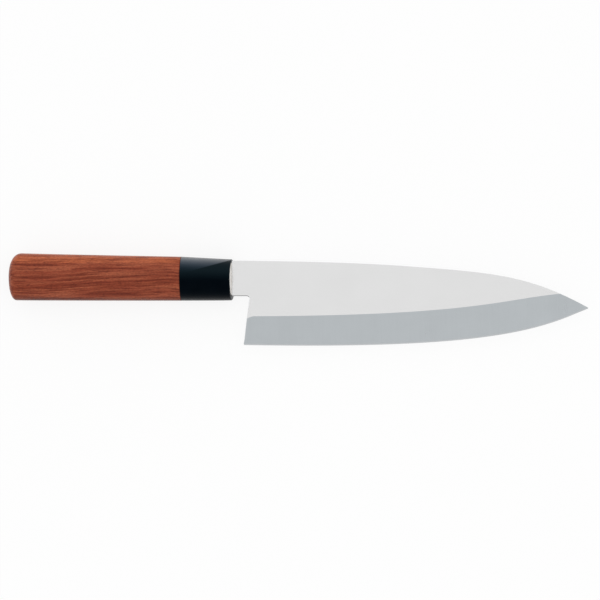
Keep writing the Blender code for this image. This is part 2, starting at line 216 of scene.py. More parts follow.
# Places that follow
ORIGIN = np.array((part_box("ferrule")[1].x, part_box("blade")[1].y - SPINE_LEVEL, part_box("handle")[0].z))
SHOULDER_X = 0.0
TIP_X = HEEL_SETBACK + BLADE_LENGTH
SEAM_X = -FERRULE_LENGTH
BUTT_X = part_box("handle")[0].x - float(ORIGIN[0])
RUNOUT_X = TIP_X - RIDGE_RUNOUT
CHOIL_X = HEEL_SETBACK + CHOIL_LEAN
NECK_LEVEL = SPINE_LEVEL - NECK_HEIGHT
HEEL_LEVEL = SPINE_LEVEL - EDGE_DEPTH
TANG_Z = BACK_DEPTH
BLADE_BACK_Z = TANG_Z - HEEL_THICKNESS / 2
SEAM_PLACE = SEAM_X + float(ORIGIN[0])
BUTT_PLACE = BUTT_X + float(ORIGIN[0])
FRONT_PLACE = float(ORIGIN[0])
SEAM_FLANK = float(ORIGIN[1]) + SEAM_HEIGHT
MOUTH_FLANK = float(ORIGIN[1]) + MOUTH_HEIGHT

# Fineness of the surfaces
ROUND_POINTS = 256
CURVE_POINTS = 600
NECK_COLUMNS = 26
BLADE_COLUMNS = 330
SHOULDER_ROWS = 20
CHOIL_ROWS = 14
BEVEL_ROWS = 12
RIM_ROW = 4
ARC_POINTS = 14
EASE_ROWS = 7
ROUNDING_ROWS = 16
FERRULE_ROWS = 40
DOME_ROWS = 44
GRIP_ROWS = 90
TANG_ROWS = 12
FILL_ROWS = 8
RIDGE_TRIES = 20
CROWDING = 0.125
FAN_REACH = 0.030
HEEL_FAN_REACH = 0.006
HEEL_AIM = 6
WELD = 1e-7
TINY = 1e-9

# The blade's finishes, in the order in which main() lists them
# The neck's finish is painted shade: dark steel along the upper half of its rounded lower edge.
FLAT_STEEL, BEVEL_STEEL, HONED_STEEL, RIM_STEEL, HOLLOW_STEEL, BORDER_STEEL, NECK_PAINTED_SHADE_STEEL, TANG_STEEL = range(8)


# Meshes from grids


def placed(points):
    """Points of the drawing frame, moved to the knife's own frame."""
    return points + ORIGIN


def grid_quads(first, rows, columns):
    """Corner numbers of the cells of a grid whose points start at number first."""
    index = first + np.arange(rows * columns).reshape(rows, columns)
    cells = (index[:-1, :-1], index[:-1, 1:], index[1:, 1:], index[1:, :-1])
    return np.stack(cells, axis=-1).reshape(-1, 4)


def make_shell(name, patches, finishes):
    """Weld grids of points into one closed mesh.

    Each patch is its points as rows x columns x 3, the number of its finish, and the rows whose line stays a
    crease. Points that coincide become one, a cell that lost a corner becomes a triangle, and one that lost
    its area goes.
    """
    points, quads, finish, creased, first = [], [], [], [], 0
    for grid, number, crease_rows in patches:
        rows, columns = grid.shape[:2]
        cells = grid_quads(first, rows, columns)
        crease = np.zeros((rows, columns), bool)
        crease[list(crease_rows)] = True
        points.append(grid.reshape(-1, 3))
        quads.append(cells)
        finish.append(np.full(len(cells), number))
        creased.append(crease.ravel())
        first += rows * columns
    points, creased = np.concatenate(points), np.concatenate(creased)
    keys = np.round(points / WELD).astype(np.int64)
    _, kept, where = np.unique(keys, axis=0, return_index=True, return_inverse=True)
    where = where.ravel()
    quads, finish = where[np.concatenate(quads)], np.concatenate(finish)
    whole = (np.diff(np.sort(quads, axis=1), axis=1) > 0).all(axis=1)
    halves = np.concatenate((quads[~whole][:, :3], quads[~whole][:, (0, 2, 3)]))
    halves_finish = np.concatenate((finish[~whole], finish[~whole]))
    solid = (np.diff(np.sort(halves, axis=1), axis=1) > 0).all(axis=1)
    mesh = bpy.data.meshes.new(name)
    mesh.from_pydata(placed(points[kept]).tolist(), [], quads[whole].tolist() + halves[solid].tolist())
    mesh.polygons.foreach_set("material_index", np.concatenate((finish[whole], halves_finish[solid])))
    outward = bmesh.new()
    outward.from_mesh(mesh)
    bmesh.ops.recalc_face_normals(outward, faces=outward.faces)
    outward.to_mesh(mesh)
    outward.free()
    mesh.shade_smooth()
    kept_crease = np.zeros(len(kept), bool)
    np.logical_or.at(kept_crease, where, creased)
    ends = np.empty(len(mesh.edges) * 2, int)
    mesh.edges.foreach_get("vertices", ends)
    mesh.edges.foreach_set("use_edge_sharp", kept_crease[ends.reshape(-1, 2)].all(axis=1))
    for material in finishes:
        mesh.materials.append(material)
    piece = bpy.data.objects.new(name, mesh)
    bpy.context.scene.collection.objects.link(piece)
    return piece


def with_heights(plan, heights):
    """Plan points with their heights as a third coordinate."""
    return np.concatenate((plan, np.asarray(heights)[..., None]), axis=-1)


# Blade: lines of the plan


def cubic(start, end, slopes, pulls):
    """One cubic curve in X and Y from the slope and the pull at each of its ends."""
    start, end = np.array(start), np.array(end)
    run = end[0] - start[0]
    first = start + np.array((1.0, slopes[0])) * run * pulls[0]
    last = end - np.array((1.0, slopes[1])) * run * pulls[1]
    t = np.linspace(0.0, 1.0, CURVE_POINTS)[:, None]
    s = 1.0 - t
    return s ** 3 * start + 3 * s ** 2 * t * first + 3 * s * t ** 2 * last + t ** 3 * end


KNEE = (SPINE_KNEE_X, SPINE_LEVEL - SPINE_KNEE_DROP)
TIP = (TIP_X, SPINE_LEVEL - TIP_DROP)
SPINE = np.concatenate((
    cubic((SHOULDER_X, SPINE_LEVEL), KNEE, SPINE_REAR_SLOPES, SPINE_REAR_PULLS)[:-1],
    cubic(KNEE, TIP, SPINE_FRONT_SLOPES, SPINE_FRONT_PULLS),
))
EDGE = cubic((HEEL_SETBACK, HEEL_LEVEL), TIP, EDGE_SLOPES, EDGE_PULLS)


def blunting(x):
    """How far the edge bellies below its curve near the tip: as the square of the way, then rounded off."""
    grown = np.clip((x - TIP_X + TIP_BLUNT_RUN) / (TIP_BLUNT_RUN - TIP_RADIUS), 0.0, 1.0) ** 2
    rounded = np.sqrt(1.0 - np.clip((x - TIP_X + TIP_RADIUS) / TIP_RADIUS, 0.0, 1.0) ** 2)
    return TIP_BLUNT * grown * rounded


def spine_level(x):
    """Height of the spine at x."""
    return np.interp(x, SPINE[:, 0], SPINE[:, 1])


def edge_level(x):
    """Height of the cutting edge at x."""
    return np.interp(x, EDGE[:, 0], EDGE[:, 1]) - blunting(x)


def choil_x(level):
    """X of the leaning line at the heel, at a given height."""
    return np.interp(level, (HEEL_LEVEL, NECK_LEVEL), (HEEL_SETBACK, CHOIL_X))


RIDGE_START = (float(choil_x(SPINE_LEVEL - RIDGE_DEPTH - RIDGE_DIP)), SPINE_LEVEL - RIDGE_DEPTH)
RIDGE = cubic(RIDGE_START, (RUNOUT_X, float(spine_level(RUNOUT_X))), RIDGE_SLOPES, RIDGE_PULLS)


def ridge_level(x):
    """Height of the line between flat and bevel at x: it dips at the choil and ends at the spine."""
    dip = RIDGE_DIP * np.clip(1.0 - (x - RIDGE_START[0]) / RIDGE_DIP_RUN, 0.0, 1.0) ** 2
    return np.where(x <= RUNOUT_X, np.interp(x, RIDGE[:, 0], RIDGE[:, 1]) - dip, spine_level(x))


def corner_arc(before, corner, after, radius):
    """Points of the round corner of a radius between two straight lines, and its middle."""
    before, corner, after = np.array(before), np.array(corner), np.array(after)
    one = (before - corner) / np.linalg.norm(before - corner)
    two = (after - corner) / np.linalg.norm(after - corner)
    half = math.acos(float(one @ two)) / 2
    middle = corner + (one + two) / np.linalg.norm(one + two) * radius / math.sin(half)
    start = corner + one * radius / math.tan(half) - middle
    end = corner + two * radius / math.tan(half) - middle
    turn = math.atan2(start[0] * end[1] - start[1] * end[0], float(start @ end))
    angle = np.linspace(0.0, turn, ARC_POINTS)[:, None]
    side = np.array((-start[1], start[0]))
    return middle + start * np.cos(angle) + side * np.sin(angle)


# Blade: heights of its two faces


def blade_thickness(x):
    """Thickness above the bevel: it thins evenly to the ridge's end, then with the height to the tip."""
    tapered = np.interp(x, (SHOULDER_X, RUNOUT_X), (HEEL_THICKNESS, RUNOUT_THICKNESS))
    height = (spine_level(x) - edge_level(x)) / (spine_level(RUNOUT_X) - edge_level(RUNOUT_X))
    return np.where(x <= RUNOUT_X, tapered, RUNOUT_THICKNESS * height)


def honed_reach(x):
    """Height of the narrow honed bevel along the edge, seen in plan."""
    return np.minimum(HONED_DEPTH, HONED_SHARE_OF_BEVEL * (ridge_level(x) - edge_level(x)))


def front_height(plan):
    """Upper face: flat above the ridge, straight bevel below it, and a steeper honed bevel at the edge."""
    x, y = plan[..., 0], plan[..., 1]
    thick, reach = blade_thickness(x), honed_reach(x)
    above_edge = y - edge_level(x)
    bevel = np.maximum(ridge_level(x) - edge_level(x), TINY)
    honed = np.minimum(HONED_HEIGHT, HONED_SHARE_OF_BLADE * thick)
    share = np.clip((above_edge - reach) / np.maximum(bevel - reach, TINY), 0.0, 1.0)
    on_honed = honed * above_edge / np.maximum(reach, TINY)
    height = np.where(above_edge < reach, on_honed, honed + (thick - honed) * share)
    return BLADE_BACK_Z + np.maximum(height, 0.0)


def back_height(plan):
    """Lower face: flat, with a shallow arc ground in across the blade that fades out at heel and tip."""
    x, y = plan[..., 0], plan[..., 1]
    top, bottom = spine_level(x) - HOLLOW_RIM, edge_level(x) + HOLLOW_RIM
    share = np.clip((top - y) / np.maximum(top - bottom, TINY), 0.0, 1.0)
    from_heel = (x - CHOIL_X - HOLLOW_SETBACK) / HOLLOW_RAMP
    from_tip = (TIP_X - HOLLOW_TIP_GAP - x) / HOLLOW_RAMP
    fade = np.clip(np.minimum(from_heel, from_tip), 0.0, 1.0)
    return BLADE_BACK_Z + HOLLOW_DEPTH * 4.0 * share * (1.0 - share) * fade * fade * (3.0 - 2.0 * fade)


# Blade: plan grids


def ruled(top, bottom, shares):
    """Grid between two lines of as many points; shares says how far down each row lies, at every column."""
    shares = np.asarray(shares).reshape(len(shares), -1, 1)
    return top[None] * (1.0 - shares) + bottom[None] * shares


def fan(top, bottom, left, shares, reach):
    """Ruled grid whose first column follows the left line; the bend it takes from it fades out over reach."""
    grid = ruled(top, bottom, shares)
    along = np.clip(1.0 - (grid[..., 0:1] - grid[:, :1, 0:1]) / reach, 0.0, 1.0)
    return grid + (left[:, None] - grid[:, :1]) * along ** 3


def height_shares(left):
    """How far down each point of a left line lies between its first and its last."""
    return (left[0, 1] - left[:, 1]) / (left[0, 1] - left[-1, 1])


def row_through(shares, row, target):
    """Shares of every row and column, shifted so that one row lies at the target share of each column."""
    shares = shares[:, None]
    above = target * shares / shares[row]
    below = target + (1.0 - target) * (shares - shares[row]) / (1.0 - shares[row])
    return np.where(np.arange(len(shares))[:, None] <= row, above, below)


def mitred(path):
    """Inward direction at each point of the blade's border, long enough to keep a mitred offset."""
    run = np.diff(path, axis=0)
    run /= np.linalg.norm(run, axis=1, keepdims=True)
    side = np.stack((-run[:, 1], run[:, 0]), axis=1)
    before = np.concatenate((side[:1], side))
    after = np.concatenate((side, side[-1:]))
    return (before + after) / (1.0 + (before * after).sum(axis=1, keepdims=True))


def blade_border():
    """The blade's border from the tip back along the spine, down the shoulder and on to the cutting edge.

    Returns the points, how many of them belong to the spine, the shoulder and the neck, the number of the one
    where the ridge starts, and the X of the columns between heel and tip.
    """
    shoulder_foot, choil_top = (SHOULDER_X, NECK_LEVEL), (CHOIL_X, NECK_LEVEL)
    heel_point = (HEEL_SETBACK, HEEL_LEVEL)
    heel = corner_arc(choil_top, heel_point, EDGE[HEEL_AIM], HEEL_CORNER_RADIUS)
    heel[-1, 1] = edge_level(heel[-1, 0])
    choil = corner_arc(shoulder_foot, choil_top, heel_point, CHOIL_RADIUS)
    share = np.linspace(0.0, 1.0, BLADE_COLUMNS)
    station = heel[-1, 0] + (TIP_X - heel[-1, 0]) * (share - np.sin(2.0 * math.pi * share) * CROWDING)
    fade = np.clip(1.0 - (station - station[0]) / FAN_REACH, 0.0, 1.0) ** 3
    spine_x = station + (choil[0, 0] - station[0]) * fade
    neck_x = np.linspace(SHOULDER_X, choil[0, 0], NECK_COLUMNS)
    spine_x = np.concatenate((neck_x[:-1], spine_x))
    spine = np.stack((spine_x, spine_level(spine_x)), axis=1)[::-1]
    shoulder_y = np.linspace(SPINE_LEVEL, NECK_LEVEL, SHOULDER_ROWS)[1:-1]
    shoulder = np.stack((np.full_like(shoulder_y, SHOULDER_X), shoulder_y), axis=1)
    neck = np.stack((neck_x, np.full_like(neck_x, NECK_LEVEL)), axis=1)
    ridge_y = ridge_on_choil()
    upper_y = np.linspace(choil[-1, 1], ridge_y, CHOIL_ROWS)[1:]
    lower_y = np.linspace(ridge_y, heel[0, 1], BEVEL_ROWS)[1:]
    line_y = np.concatenate((upper_y, lower_y))
    line = np.stack((choil_x(line_y), line_y), axis=1)
    path = np.concatenate((spine, shoulder, neck, choil[1:], line, heel[1:]))
    ridge_number = len(spine) + len(shoulder) + len(neck) + len(choil) - 1 + len(upper_y) - 1
    return path, (len(spine), len(shoulder), len(neck)), ridge_number, station


def ridge_on_choil():
    """Height on the choil from which the eased corner's inner line starts on the ridge."""
    lean = np.array((HEEL_SETBACK - CHOIL_X, HEEL_LEVEL - NECK_LEVEL))
    lean /= np.linalg.norm(lean)
    inward = np.array((-lean[1], lean[0])) * NECK_EASE
    level = NECK_LEVEL
    for _ in range(RIDGE_TRIES):
        level = float(ridge_level(choil_x(level) + inward[0])) - inward[1]
    return level


def make_blade(finishes):
    """Blade in one closed shell: upper flat, bevel, honed edge, hollow back, eased border, and its tang.

    In plan each face is a few grids ruled between two lines, such as spine and ridge, or ridge and edge. The
    border's corners are rounded by a quarter circle carried along it, smaller where the blade is thin.
    """
    path, (spine_count, shoulder_count, neck_count), ridge_number, station = blade_border()
    thick = front_height(path) - back_height(path)
    ease = np.full(len(path), NECK_EASE)
    ease[:spine_count] = SPINE_EASE
    ease[spine_count:spine_count + shoulder_count] = SHOULDER_EASE
    ease = np.minimum(ease, EASE_SHARE * thick)[:, None]
    inward = mitred(path)
    inner = path + inward * ease
    spine = inner[:spine_count][::-1]
    shoulder = inner[spine_count - 1:spine_count + shoulder_count + 1]
    neck_first = spine_count + shoulder_count
    neck = inner[neck_first:neck_first + neck_count]
    choil_upper = inner[neck_first + neck_count - 1:ridge_number + 1]
    choil_lower = inner[ridge_number:]
    main_spine = spine[neck_count - 1:]
    fade = np.clip(1.0 - (station - station[0]) / FAN_REACH, 0.0, 1.0)[:, None] ** 3
    edge = np.stack((station, edge_level(station)), axis=1)
    ridge_x = station + (choil_lower[0, 0] - station[0]) * fade[:, 0]
    ridge = np.stack((ridge_x, ridge_level(ridge_x)), axis=1)
    ridge[0] = choil_lower[0]
    met = int(np.argmax(ridge[:, 1] >= main_spine[:, 1]))
    ridge[met:] = main_spine[met:]
    divide = halfway(main_spine, ridge, choil_upper[0], fade)
    back_divide = halfway(main_spine, edge, choil_upper[0], fade)

    patches = []
    rows = height_shares(shoulder)
    flat_top = np.concatenate((neck[:-1], divide))
    flat = fan(spine[:neck_count + met], flat_top[:neck_count + met], shoulder, rows, FAN_REACH)
    lower_flat = fan(divide[:met + 1], ridge[:met + 1], choil_upper, height_shares(choil_upper), FAN_REACH)
    rows = height_shares(choil_lower)
    honed = 1.0 - honed_reach(station) / np.maximum(ridge[:, 1] - edge[:, 1], WELD)
    rows = row_through(rows, BEVEL_ROWS - 1, np.clip(honed, 0.0, 1.0 - WELD))
    bevels = fan(ridge, edge, choil_lower, rows, HEEL_FAN_REACH)
    patches.append((with_heights(flat, front_height(flat)), FLAT_STEEL, ()))
    patches.append((with_heights(lower_flat, front_height(lower_flat)), FLAT_STEEL, ()))
    bevels = with_heights(bevels, front_height(bevels))
    patches.append((bevels[:BEVEL_ROWS], BEVEL_STEEL, (0, -1)))
    patches.append((bevels[BEVEL_ROWS - 1:], HONED_STEEL, (0,)))

    back_line = np.concatenate((neck[:-1], back_divide))
    rows = height_shares(shoulder)
    rim = (HOLLOW_RIM - SPINE_EASE) / np.maximum(spine[:, 1] - back_line[:, 1], WELD)
    upper_back = fan(spine, back_line, shoulder, row_through(rows, RIM_ROW, np.minimum(rim, 0.5)), FAN_REACH)
    left = np.concatenate((choil_upper, choil_lower[1:]))
    rows = height_shares(left)
    rim = 1.0 - HOLLOW_RIM / np.maximum(back_divide[:, 1] - edge[:, 1], WELD)
    rim_row = int(np.argmin(np.abs(rows - rim[0])))
    lower_back = fan(back_divide, edge, left, row_through(rows, rim_row, np.maximum(rim, 0.5)), FAN_REACH)
    upper_back = with_heights(upper_back, back_height(upper_back))
    lower_back = with_heights(lower_back, back_height(lower_back))
    patches.append((upper_back[:RIM_ROW + 1], RIM_STEEL, (-1,)))
    patches.append((upper_back[RIM_ROW:], HOLLOW_STEEL, (0,)))
    patches.append((lower_back[:rim_row + 1], HOLLOW_STEEL, (-1,)))
    patches.append((lower_back[rim_row:], RIM_STEEL, (0,)))

    turn = np.linspace(0.0, math.pi / 2, EASE_ROWS)[:, None, None]
    corner = path + inward * ease * (1.0 - np.sin(turn))
    drop = (ease * (1.0 - np.cos(turn)))[..., 0]
    above = with_heights(corner, front_height(corner) - drop)
    below = with_heights(corner, back_height(corner) + drop)[::-1]
    border = np.concatenate((above, below))
    neck_last = neck_first + neck_count + ARC_POINTS // 2
    patches.append((border[:, :neck_first + 1], BORDER_STEEL, (0, -1)))
    # Painted shade: dark steel on the upper half of the neck's rounded lower edge.
    patches.append((border[:EASE_ROWS, neck_first:neck_last], NECK_PAINTED_SHADE_STEEL, (0,)))
    patches.append((border[EASE_ROWS - 1:, neck_first:neck_last], BORDER_STEEL, (-1,)))
    patches.append((border[:, neck_last - 1:], BORDER_STEEL, (0, -1)))
    patches.append((tang_grid(), TANG_STEEL, ()))
    return make_shell("blade_steel", patches, finishes)


def halfway(top, bottom, start, fade):
    """Line that starts at a point of the left border and keeps its share of the way between two lines."""
    share = (start[1] - bottom[0, 1]) / (top[0, 1] - bottom[0, 1])
    line = top * share + bottom * (1.0 - share)
    return line + (start - line[0]) * fade


# Tang, handle, ferrule and resin


def closed_ring(points):
    """Repeat each ring's first point at its end, so that the grid closes round the piece."""
    return np.concatenate((points, points[:, :1]), axis=1)


def pole(x, y, z):
    """A ring whose points all lie at one place, which closes a tube's end."""
    return np.broadcast_to(np.array((x, y, z)), (1, ROUND_POINTS + 1, 3))


def box_rings(x, middle_y, half_height, half_thickness):
    """Rounded rectangles about the tang's middle plane, one at each x, as ovals of a high power."""
    x, middle_y, half_height, half_thickness = np.broadcast_arrays(
        *(np.atleast_1d(value)[:, None] for value in (x, middle_y, half_height, half_thickness)))
    angle = np.arange(ROUND_POINTS) * 2.0 * math.pi / ROUND_POINTS
    reach = (np.abs(np.cos(angle)) ** BOX_POWER + np.abs(np.sin(angle)) ** BOX_POWER) ** (-1.0 / BOX_POWER)
    y = middle_y + half_height * np.cos(angle) * reach
    z = TANG_Z + half_thickness * np.sin(angle) * reach
    return closed_ring(np.stack((x + 0.0 * y, y, z), axis=-1))


def tang_rings(x, grow):
    """Rounded rectangles round the tapering tang at each x, larger than it by grow."""
    ends = (-TANG_LENGTH, SHOULDER_X)
    half_height = np.interp(x, ends, (TANG_END_HEIGHT / 2, TANG_HEIGHT / 2))
    half_thickness = np.interp(x, ends, (TANG_END_THICKNESS / 2, HEEL_THICKNESS / 2))
    return box_rings(x, TANG_Y, half_height + grow, half_thickness + grow)


def tang_grid():
    """The tang as a tapering rounded bar, from its end to a little inside the blade's shoulder."""
    x = np.linspace(-TANG_LENGTH, SHOULDER_X + TANG_OVERLAP, TANG_ROWS)
    rings = tang_rings(x, -TANG_STEP)
    return np.concatenate((pole(x[0], TANG_Y, TANG_Z), rings, pole(x[-1], TANG_Y, TANG_Z)))


def dome_scale(x, length):
    """Share of the full section that the butt's dome of a length has reached at x."""
    left = np.clip(1.0 - (x - BUTT_X) / length, 0.0, 1.0)
    return (1.0 - left ** DOME_POWER_ALONG) ** (1.0 / DOME_POWER_ACROSS)


def sections(x, inset=0.0, ridge=RIDGE_RISE):
    """Oval sections at each x, drawn in by inset, with a soft ridge along the side that faces up.

    Across and outward run round an oval of a power just over 2. The ridge is a bell curve over across. In the
    butt's dome the oval shrinks, less on its lower side. The axis sags by a flat-topped arch, and evenly a
    little more towards the collar.
    """
    x, inset = np.broadcast_arrays(np.atleast_1d(x)[:, None], np.atleast_1d(inset)[:, None] + SKIN)
    angle = np.arange(ROUND_POINTS) * 2.0 * math.pi / ROUND_POINTS
    power = 2.0 / SECTION_POWER
    across = np.sign(np.cos(angle)) * np.abs(np.cos(angle)) ** power
    outward = np.sign(np.sin(angle)) * np.abs(np.sin(angle)) ** power
    half_height = np.interp(x, (BUTT_X, SEAM_X, 0.0), (BUTT_HEIGHT, SEAM_HEIGHT, MOUTH_HEIGHT)) / 2
    front = np.interp(x, (BUTT_X, 0.0), (BUTT_FRONT_DEPTH, MOUTH_FRONT_DEPTH))
    depth = np.where(outward > 0.0, front, BACK_DEPTH) - inset
    bump = ridge * np.exp(-(((across - RIDGE_OFFSET) / RIDGE_SPREAD) ** 2)) * (outward > 0.0)
    above, below = dome_scale(x, BUTT_DOME_ABOVE), dome_scale(x, BUTT_DOME_BELOW)
    scale = (above + below) / 2 + (above - below) / 2 * across
    along = (x - BUTT_X) / -BUTT_X
    crown = np.clip(4.0 * along * (1.0 - along), 0.0, 1.0) ** UNDERSIDE_POWER
    underside = -UNDERSIDE_CROWN * crown - UNDERSIDE_FALL * along
    y = underside + half_height + (half_height - inset) * across * scale
    z = TANG_Z + (depth + bump) * outward * scale
    return closed_ring(np.stack((x + 0.0 * y, y, z), axis=-1))


def leaned(points):
    """Points near the collar's front, drawn back along a parabola of their height above the middle plane."""
    high = np.clip((points[..., 2] - TANG_Z) / MOUTH_FRONT_DEPTH, 0.0, 1.0)
    near = np.clip(1.0 + points[..., 0] / FACE_LEAN_RUN, 0.0, 1.0)
    back = FACE_LEAN * high * (2.0 - high) * near
    return np.concatenate((points[..., :1] - back[..., None], points[..., 1:]), axis=-1)


def mouth_rings(x, gap=0.0):
    """Outline of the hollow in the collar's face at each x: the collar's own, at a share of its size."""
    middle = np.array((0.0, TANG_Y, TANG_Z))
    ring = middle + (sections(0.0) - middle) * np.array((0.0, MOUTH_SHARE[0] - gap, MOUTH_SHARE[1] - gap))
    ring = ring + np.array((0.0, MOUTH_RISE, 0.0))
    return ring + np.asarray(x)[:, None, None] * np.array((1.0, 0.0, 0.0))


def make_ferrule(finish):
    """Collar: eased at the seam and rounded at the front, with mouth, slot and the pocket for the tenon."""
    turn = np.linspace(0.0, math.pi / 2, EASE_ROWS)
    rear = sections(SEAM_X + SEAM_EASE * (1.0 - np.cos(turn)), SEAM_EASE * (1.0 - np.sin(turn)))
    rounded = -FERRULE_EDGE_RADIUS
    length = sections(np.linspace(SEAM_X + SEAM_EASE, rounded, FERRULE_ROWS)[1:-1])
    turn = np.linspace(0.0, math.pi / 2, ROUNDING_ROWS)
    front = sections(rounded + FERRULE_EDGE_RADIUS * np.sin(turn), FERRULE_EDGE_RADIUS * (1.0 - np.cos(turn)))
    mouth = mouth_rings((0.0, -MOUTH_RECESS))
    slot = tang_rings(np.array((-MOUTH_RECESS, -FERRULE_FRONT_WALL)), SEAT_GAP + SEAL_WALL + SEAT_GAP)
    pocket = sections(np.array((-FERRULE_FRONT_WALL, SEAM_X)), FERRULE_WALL, ridge=0.0)
    outside = leaned(np.concatenate((rear, length, front)))
    inside = leaned(np.concatenate((mouth, slot, pocket, rear[:1])))
    face = np.concatenate((outside[-1:], inside[:1]))
    patches = [(outside, 0, (0,)), (face, 0, (0, 1)), (inside, 0, range(len(inside)))]
    return make_shell("ferrule_collar", patches, [finish])


def make_handle(finish):
    """Wood: domed butt, grip, eased corner at the seam, tenon and the bore for the bedded tang."""
    grown = np.sin(np.linspace(0.0, math.pi / 2, DOME_ROWS))
    dome_x = 1.0 - (1.0 - grown ** DOME_POWER_ACROSS) ** (1.0 / DOME_POWER_ALONG)
    dome = sections(BUTT_X + BUTT_DOME_ABOVE * dome_x)
    shoulder = SEAM_X - JOINT_GAP
    grip = sections(np.linspace(BUTT_X + BUTT_DOME_ABOVE, shoulder - SEAM_EASE, GRIP_ROWS)[1:-1])
    turn = np.linspace(0.0, math.pi / 2, EASE_ROWS)
    seam = sections(shoulder - SEAM_EASE * (1.0 - np.sin(turn)), SEAM_EASE * (1.0 - np.cos(turn)))
    tenon_front = -FERRULE_FRONT_WALL - SEAT_GAP
    tenon = sections(np.array((shoulder, tenon_front)), FERRULE_WALL + SEAT_GAP, ridge=0.0)
    bore_end = -TANG_LENGTH - SEAT_GAP - BEDDING_END - SEAT_GAP
    bore = tang_rings(np.array((tenon_front, -TANG_LENGTH, bore_end)), SEAT_GAP + BEDDING_WALL + SEAT_GAP)
    rings = np.concatenate((dome, grip, seam, tenon, bore, pole(bore_end, TANG_Y, TANG_Z)))
    first = len(dome) + len(grip) + len(seam)
    creases = (first, first + 1, first + 2, first + 4)
    return make_shell("handle_wood", [(rings, 0, creases)], [finish])


def make_seal(finish):
    """Resin seal: a sleeve in the slot, and a fill in the collar's mouth that rises to the blade's root.

    The fill's rings go straight from the mouth's outline to the blade's, and rise from the collar's leaning
    face with a power of their share of the way.
    """
    rear, floor = -FERRULE_FRONT_WALL, FILL_GAP - MOUTH_RECESS
    share = np.linspace(0.0, 1.0, FILL_ROWS)[:, None, None]
    root_half_height, root_half_thickness = NECK_HEIGHT / 2 - SEAL_INSET, HEEL_THICKNESS / 2 - FILL_GAP
    root = box_rings(-FILL_GAP, SPINE_LEVEL - NECK_HEIGHT / 2, root_half_height, root_half_thickness)
    rim = mouth_rings((-FILL_GAP,), MOUTH_GAP)
    fill = leaned(rim * (1.0 - share) + root * share)
    fill = fill + (root - fill[-1:]) * share ** FILL_RISE
    sleeve = tang_rings(np.array((rear, floor)), SEAT_GAP + SEAL_WALL)
    back = mouth_rings((floor,), MOUTH_GAP)
    inside = tang_rings(np.array((-FILL_GAP, rear)), SEAT_GAP / 2)
    rings = np.concatenate((sleeve, leaned(back), fill, inside, sleeve[:1]))
    creases = (0, 1, 2, 3, 2 + len(fill), 3 + len(fill), 4 + len(fill))
    return make_shell("mouth_seal_fill", [(rings, 0, creases)], [finish])


# Finishes


def new_finish(name):
    """An empty material with its output; returns the material and its node tree."""
    material = bpy.data.materials.new(name)
    material.use_nodes = True
    material.node_tree.nodes.clear()
    return material, material.node_tree


def put(tree, kind, sockets=(), **settings):
    """Add a node, with its settings, and with values or links on its input sockets."""
    node = tree.nodes.new(kind)
    for key, value in settings.items():
        setattr(node, key, value)
    for key, value in dict(sockets).items():
        if isinstance(value, bpy.types.NodeSocket):
            tree.links.new(value, node.inputs[key])
        else:
            node.inputs[key].default_value = value
    return node


def maths(tree, operation, first, second=0.0, clamp=False):
    """One sum, product or other operation on two numbers."""
    return put(tree, "ShaderNodeMath", {0: first, 1: second}, operation=operation, use_clamp=clamp).outputs[0]


def plus(tree, first, second):
    """Sum of two numbers."""
    return maths(tree, "ADD", first, second)


def minus(tree, first, second):
    """Difference of two numbers."""
    return maths(tree, "SUBTRACT", first, second)


def times(tree, first, second):
    """Product of two numbers."""
    return maths(tree, "MULTIPLY", first, second)


def span(tree, value, low, high, to_low=0.0, to_high=1.0, smooth=True):
    """Carry a value's span onto another, smoothly or straight, held at both ends."""
    kind = "SMOOTHSTEP" if smooth else "LINEAR"
    sockets = {"Value": value, "From Min": low, "From Max": high, "To Min": to_low, "To Max": to_high}
    return put(tree, "ShaderNodeMapRange", sockets, interpolation_type=kind, clamp=True).outputs["Result"]


def place(tree):
    """Place on the piece, in metres."""
    return put(tree, "ShaderNodeTexCoord").outputs["Object"]


def parts(tree, at):
    """X, Y and Z of a place."""
    return put(tree, "ShaderNodeSeparateXYZ", {"Vector": at}).outputs


def grey(tree, value):
    """Grey whose three channels hold one value."""
    return put(tree, "ShaderNodeCombineColor", {0: value, 1: value, 2: value}).outputs[0]


def grain(tree, at, scale, detail=3.0, roughness=0.55):
    """Cloudy noise whose grains are 1 / scale metres long along each axis."""
    mapped = put(tree, "ShaderNodeMapping", {"Vector": at, "Scale": scale}).outputs["Vector"]
    sockets = {"Vector": mapped, "Scale": 1.0, "Detail": detail, "Roughness": roughness}
    return put(tree, "ShaderNodeTexNoise", sockets).outputs["Fac"]


def blend(tree, share, first, second, mode="MIX"):
    """Mix two colours by a share."""
    node = put(tree, "ShaderNodeMix", data_type="RGBA", blend_type=mode)
    for number, value in ((0, share), (6, first), (7, second)):
        if isinstance(value, bpy.types.NodeSocket):
            tree.links.new(value, node.inputs[number])
        elif isinstance(value, tuple):
            node.inputs[number].default_value = (*value, 1.0)
        else:
            node.inputs[number].default_value = value
    return node.outputs[2]


def raised(tree, height, distance):
    """Surface normal from a height pattern, whose full height is distance metres."""
    return put(tree, "ShaderNodeBump", {"Height": height, "Distance": distance}).outputs["Normal"]


def finished(tree, sockets):
    """End a tree in one Principled shader."""
    shader = put(tree, "ShaderNodeBsdfPrincipled", sockets)
    put(tree, "ShaderNodeOutputMaterial", {"Surface": shader.outputs["BSDF"]})


